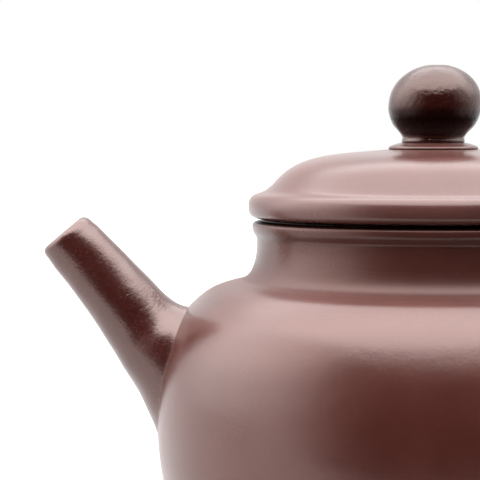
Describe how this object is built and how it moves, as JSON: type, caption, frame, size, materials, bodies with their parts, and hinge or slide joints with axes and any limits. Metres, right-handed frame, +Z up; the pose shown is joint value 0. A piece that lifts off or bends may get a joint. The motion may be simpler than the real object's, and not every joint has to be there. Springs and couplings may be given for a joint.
{
  "type": "yixing clay teapot",
  "caption": "Small unglazed clay teapot with a straight tapered spout, loop handle, short neck and a lift-off domed lid with a ball knob.",
  "frame": {"origin": "centre of the foot ring's resting face", "axes": "+Z up, the spout points to -X and the handle to +X"},
  "size_m": [0.1395, 0.0928, 0.0931],
  "materials": {
    "body_clay": "satin",
    "lid_clay": "satin",
    "spout_clay": "satin",
    "knob_clay": "satin",
    "inner_clay": "matte"
  },
  "bodies": {
    "pot": {"foot_ring": "body_clay", "base_disc": "body_clay", "body_wall": "body_clay", "shoulder_disc": "body_clay", "neck_band": "body_clay", "mouth_bead": "body_clay", "spout": "spout_clay", "strainer": "inner_clay", "handle": "spout_clay"},
    "lid_ring": {"lid_flange": "lid_clay"},
    "lid": {"lid_rim": "lid_clay", "lid_dome": "lid_clay", "knob_base": "lid_clay", "knob": "knob_clay"}
  },
  "joints": [
    {"name": "lid_lift", "type": "slide", "parent": "pot", "child": "lid_ring", "axis": [0, 0, 1], "range_m": [0, 0.06]},
    {"name": "lid_turn", "type": "hinge", "parent": "lid_ring", "child": "lid", "pos_m": [0, 0, 0.0674], "axis": [0, 0, 1], "continuous": true}
  ]
}
